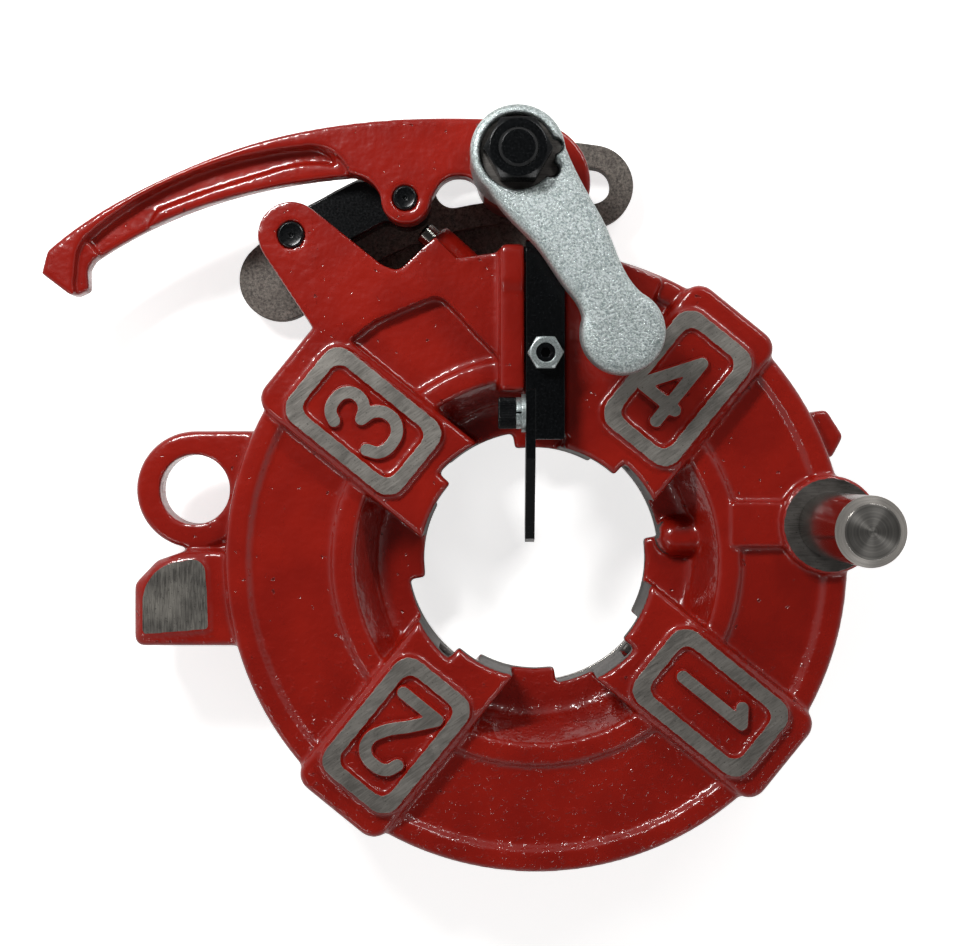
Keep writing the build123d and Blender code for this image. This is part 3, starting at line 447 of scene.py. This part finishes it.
def softened(node, fillings=()):
    """A closed skin of a casting, its edges and corners worn round as the sand and the paint leave them.
    A filling is a block of metal in a corner that the sand can't hold: its middle and its size."""
    grain, passes, most = skins[node]
    shape = merged(node)
    for middle, size in fillings:
        place = Matrix.LocRotScale(Vector(middle) * mm, None, Vector(size) * mm)
        bmesh.ops.create_cube(shape, size=1, matrix=place)
    holder = placed(node, as_mesh(shape, node))
    skin_over(holder, grain)
    worn = holder.modifiers.new("worn", "SMOOTH")
    worn.factor = 0.5
    worn.iterations = passes
    mesh = modified(holder)
    holder.modifiers.clear()
    holder.data = mesh
    lighter = holder.modifiers.new("lighter", "DECIMATE")
    lighter.ratio = min(1, most / (2 * len(mesh.polygons)))
    mesh = modified(holder)
    bpy.data.objects.remove(holder)
    return as_bmesh(mesh)


def mill_flat(shape, centre, reach, level, finish):
    """Mills a casting flat at a level, within reach of a centre, and marks the cut faces' finish."""
    deepest = level - 3 * mm
    burr = 0.8 * mm
    flat_within = 0.002 * mm
    snap = 0.0001 * mm
    centre = Vector((centre.x, centre.y, 0))
    near = []
    for face in shape.faces:
        middle = face.calc_center_median()
        if middle.z > deepest and (middle - centre).xy.length < reach:
            near.append(face)
    edges = list({edge for face in near for edge in face.edges})
    verts = list({vert for face in near for vert in face.verts})
    bmesh.ops.bisect_plane(
        shape, geom=near + edges + verts, dist=snap, plane_co=(0, 0, level), plane_no=straight_up
    )
    for vert in shape.verts:
        if vert.co.z > level and (vert.co - centre).xy.length < reach + burr:
            vert.co.z = level
    for face in shape.faces:
        if (face.calc_center_median() - centre).xy.length < reach:
            if all(abs(vert.co.z - level) < flat_within for vert in face.verts):
                face.material_index = finish


def ream(shape, start, way, length, radius):
    """Opens a bore again where the worn skin has drawn it in."""
    for vert in shape.verts:
        along = (vert.co - start).dot(way)
        out = vert.co - start - along * way
        if 0 < along < length and radius / 2 < out.length < radius:
            vert.co += out * (radius / out.length - 1)


def head_skin():
    """The head casting: enamel all over, bare where it was machined after painting."""
    finishes = [enamel, milled, bored, sawn]
    is_milled, is_bored, is_sawn = 1, 2, 3
    shape = softened("head_casting", [ear_corner])
    for face in shape.faces:
        middle = face.calc_center_median()
        if faces_bore(face, middle) or middle.z < machined_below:
            face.material_index = is_bored
    ream(shape, plunger_tip + plunger_way * spring_from, plunger_way, spring_room, spring_bore_r)
    for angle in numerals:
        mill_flat(shape, around(pad_mid_r, angle), pad_reach, pad_top, is_milled)
    mill_flat(shape, post_mid, boss_reach, boss_top, is_bored)
    mill_flat(shape, rest_mid, rest_reach, rest_top, is_sawn)
    piece("head_casting_painted", shape, "head", finishes, ["head_casting"])


def lever_skins():
    """The two levers are castings too: one enamelled, one plated over its rough skin."""
    for node, name, slot, finish in (
        ("throwout_lever", "throwout_lever_painted", "red_enamel", enamel),
        ("clamp_lever", "clamp_lever_plated", "zinc_plate", zinc),
    ):
        piece(name, softened(node), frame["nodes"][node]["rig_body"], [finish], [node])


def post_skin():
    """The mounting post: its end faced in the lathe, its side polished."""
    shape = merged("mounting_post")
    for face in shape.faces:
        if face.normal.z > 0.99:
            face.material_index = 1
    piece("mounting_post_turned", shape, "head", [steel, post_end], ["mounting_post"])


def stroke_tube(points, radius):
    """A round bar along a stroke, with ball ends."""
    curve = bpy.data.curves.new("stroke", "CURVE")
    curve.dimensions = "3D"
    curve.bevel_depth = radius
    curve.bevel_resolution = 6
    curve.use_fill_caps = True
    line = curve.splines.new("BEZIER")
    line.bezier_points.add(len(points) - 1)
    for knot, (x, y) in zip(line.bezier_points, points):
        knot.co = (x * mm, y * mm, 0)
        knot.handle_left_type = knot.handle_right_type = "AUTO"
    holder = placed("stroke", curve)
    bpy.context.view_layer.update()
    shape = as_bmesh(bpy.data.meshes.new_from_object(holder))
    bpy.data.objects.remove(holder)
    for x, y in (points[0], points[-1]):
        place = Matrix.Translation((x * mm, y * mm, 0))
        bmesh.ops.create_icosphere(shape, subdivisions=3, radius=radius, matrix=place)
    return shape


def raised_numeral(angle, word, strokes):
    """A cast numeral in a pad's recess: rounded strokes grown into one, milled flush with the pad's frame."""
    radius = (numeral_depth**2 + (numeral_stroke / 2) ** 2) ** 0.5
    mesh = bpy.data.meshes.new("numeral")
    together = bmesh.new()
    for points in strokes:
        tube = stroke_tube(points, radius)
        tube.to_mesh(mesh)
        tube.free()
        together.from_mesh(mesh)
    together.to_mesh(mesh)
    together.free()
    holder = placed("numeral", mesh)
    skin_over(holder, numeral_grain)
    bpy.context.view_layer.update()
    shape = as_bmesh(modified(holder))
    bpy.data.objects.remove(holder)
    cut = bmesh.ops.bisect_plane(
        shape,
        geom=shape.verts[:] + shape.edges[:] + shape.faces[:],
        plane_co=(0, 0, numeral_depth),
        plane_no=straight_up,
        clear_outer=True,
    )["geom_cut"]
    rim = [part for part in cut if isinstance(part, bmesh.types.BMEdge)]
    lid = bmesh.ops.triangle_fill(shape, edges=rim, use_beauty=True, normal=straight_up)["geom"]
    is_milled, is_painted = 0, 1
    for face in shape.faces:
        face.material_index = is_painted
    for part in lid:
        if isinstance(part, bmesh.types.BMFace):
            part.material_index = is_milled
    bmesh.ops.recalc_face_normals(shape, faces=shape.faces)
    bmesh.ops.rotate(shape, verts=shape.verts, matrix=Matrix.Rotation(radians(angle - 90), 3, "Z"))
    foot = pad_top - numeral_depth - numeral_sunk
    bmesh.ops.translate(shape, verts=shape.verts, vec=around(pad_mid_r, angle, foot))
    piece("numeral_" + word, shape, "head", [milled, enamel], sharp=40)


def rings_along(shape, edges, steps):
    """Draws a ring of edges out along Z, step by step: each step is how far, and how many times wider."""
    for step, grow in steps:
        out = bmesh.ops.extrude_edge_only(shape, edges=edges)["geom"]
        verts = [part for part in out if isinstance(part, bmesh.types.BMVert)]
        edges = [part for part in out if isinstance(part, bmesh.types.BMEdge)]
        bmesh.ops.translate(shape, verts=verts, vec=(0, 0, step))
        for vert in verts:
            vert.co.xy *= grow


def knurled_cap_screw():
    """The trigger's socket-head screw: knurled rim, chamfers, a round socket and its shank."""
    low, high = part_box("trigger_screw")
    mid = (low + high) / 2
    head_r = (high.z - low.z) / 2
    head_length = 8 * mm
    rim_length = head_length - 1.5 * mm
    foot_chamfer, foot_share = 0.5 * mm, 0.95
    top_chamfer, top_share = 0.6 * mm, 0.93
    groove_share = 0.93
    shank_r = 3.9 * mm
    shank_overlap = 0.4 * mm
    shape = bmesh.new()
    ring = bmesh.ops.create_circle(shape, segments=72, radius=head_r * foot_share, cap_ends=False)["verts"]
    for vert in ring[1::2]:
        vert.co.xy *= groove_share
    steps = ((foot_chamfer, 1 / foot_share), (rim_length, 1.0), (top_chamfer, top_share))
    rings_along(shape, shape.edges[:], steps)
    bmesh.ops.holes_fill(shape, edges=shape.edges, sides=0)
    top = max(shape.faces, key=lambda face: face.calc_center_median().z)
    for thickness, depth in ((1.2, 0), (1.6, -0.2), (0.2, -3)):
        bmesh.ops.inset_region(shape, faces=[top], thickness=thickness * mm, depth=depth * mm)
    shank = high.x - low.x - head_length
    bmesh.ops.create_cone(
        shape,
        cap_ends=True,
        segments=32,
        radius1=shank_r,
        radius2=shank_r,
        depth=shank + shank_overlap,
        matrix=Matrix.Translation((0, 0, (shank_overlap - shank) / 2)),
    )
    bmesh.ops.rotate(shape, verts=shape.verts, matrix=Matrix.Rotation(radians(-90), 3, "Y"))
    bmesh.ops.translate(shape, verts=shape.verts, vec=(low.x + head_length, mid.y, mid.z))
    bmesh.ops.recalc_face_normals(shape, faces=shape.faces)
    piece("trigger_screw_knurled", shape, "trigger", [black], ["trigger_screw"], sharp=25)


def turned_pin(node):
    """A headless pin as turned: a rounded edge, a shallow ring at the face and a centre drilled in it."""
    low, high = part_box(node)
    mid = (low + high) / 2
    radius = (high.x - low.x) / 2
    edge = 0.9 * mm
    ring_depth = 0.25 * mm
    drill_depth = 0.9 * mm
    shape = bmesh.new()
    bmesh.ops.create_circle(shape, segments=48, radius=radius - edge, cap_ends=False)
    bmesh.ops.translate(shape, verts=shape.verts, vec=(0, 0, low.z))
    steps = (
        (edge, radius / (radius - edge)),
        (high.z - low.z - 2 * edge, 1.0),
        (edge * 0.7, 1 - edge * 0.4 / radius),
        (edge * 0.3, 1 - edge * 0.7 / radius),
        (-ring_depth, 0.84),
        (0.0, 0.3),
        (-drill_depth, 0.3),
    )
    rings_along(shape, shape.edges[:], steps)
    bmesh.ops.holes_fill(shape, edges=shape.edges, sides=0)
    bmesh.ops.translate(shape, verts=shape.verts, vec=(mid.x, mid.y, 0))
    bmesh.ops.recalc_face_normals(shape, faces=shape.faces)
    body = frame["nodes"][node]["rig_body"]
    piece(node + "_turned", shape, body, [black], [node], sharp=30)


head_skin()
lever_skins()
post_skin()
for pad_angle, (numeral, numeral_strokes) in numerals.items():
    raised_numeral(pad_angle, numeral, numeral_strokes)
knurled_cap_screw()
for pin in ("frame_pin", "lever_pin"):
    turned_pin(pin)

node_finishes = {
    "cam_plate": forging,
    "retaining_ring": steel,
    "ring_screws": black,
    "post_pin": black,
    "link": black,
    "clamp_stud": black,
    "clamp_plate": black,
    "clamp_spacer": steel,
    "clamp_nut": black,
    "lock_washer": bored,
    "trigger_bar": black,
    "trigger_blade": black,
    "trigger_pivot_pin": black,
    "flat_washer": zinc_smooth,
    "spring_washer": zinc_smooth,
    "adjusting_screw": black,
    "lock_nut": zinc_smooth,
    "trip_plunger": steel,
    "plunger_spring": steel,
}
for cad_node, cad_finish in node_finishes.items():
    finish_node(cad_node, cad_finish)


def studio_floor():
    """A pale floor that the camera sees white, with the object's soft shadow left in it."""
    shape = bmesh.new()
    bmesh.ops.create_grid(shape, x_segments=1, y_segments=1, size=4)
    bmesh.ops.translate(shape, verts=shape.verts, vec=(0, 0, cad_box[0].z - 0.2 * mm))
    mesh = as_mesh(shape, "studio_floor")
    material, tree, shader, _ = surface("pale_floor", Roughness=0.9, Specular_IOR_Level=0.1)
    shader.inputs["Base Color"].default_value = srgb("#f2f1ef")
    path = add(tree, "LightPath").outputs
    seen = maths(tree, "MAXIMUM", path["Is Camera Ray"], path["Is Glossy Ray"])
    seen = maths(tree, "MAXIMUM", seen, path["Is Transmission Ray"])
    mirrored_glow, camera_glow = 0.2, 0.7
    level = spread(tree, path["Is Camera Ray"], 0, 1, mirrored_glow, camera_glow)
    glow = add(tree, "Emission", {"Color": srgb("#ffffff"), "Strength": level})
    mixed = add(tree, "AddShader", {0: shader.outputs[0], 1: glow.outputs[0]})
    final = add(tree, "MixShader", {0: seen, 1: shader.outputs[0], 2: mixed.outputs[0]})
    tree.links.new(final.outputs[0], tree.nodes["Material Output"].inputs["Surface"])
    mesh.materials.append(material)
    floor = placed("studio_floor", mesh)


def softbox(azimuth, elevation, distance, width, height, power):
    """A rectangular lamp that faces the object from that direction."""
    lamp = bpy.data.lights.new("softbox", "AREA")
    lamp.shape = "RECTANGLE"
    lamp.size = width
    lamp.size_y = height
    lamp.energy = power
    way = around(cos(radians(elevation)), azimuth, sin(radians(elevation)))
    holder = placed("softbox", lamp)
    holder.location = way * distance
    holder.rotation_euler = way.to_track_quat("Z", "Y").to_euler()


def studio_sky():
    """A soft room: white at the horizon, grey walls, and a dark ceiling that keeps glare off flat gloss."""
    world = bpy.data.worlds.new("studio")
    world.use_nodes = True
    tree = world.node_tree
    background = tree.nodes["Background"]
    way = add(tree, "TexCoord").outputs["Generated"]
    height = add(tree, "SeparateXYZ", {0: way}).outputs["Z"]
    wall_foot, ceiling = 0.5, 0.05
    walls = spread(tree, height, 0.2, 0.9, wall_foot, ceiling)
    horizon = spread(tree, height, 0.06, 0.14, 1.0, 0.0)
    tree.links.new(maths(tree, "MAXIMUM", walls, horizon), background.inputs["Strength"])
    background.inputs["Color"].default_value = srgb("#ffffff")
    bpy.context.scene.world = world


studio_floor()
studio_sky()
for sizes in softboxes:
    softbox(*sizes)

camera = bpy.data.cameras.new("photo_camera")
camera.sensor_width = camera_sensor
camera.lens = camera_lens
camera.shift_y = photo_shift / photo_width
viewer = placed("photo_camera", camera)
viewer.location = camera_place
bpy.context.scene.camera = viewer
bpy.context.scene.view_settings.view_transform = "Standard"
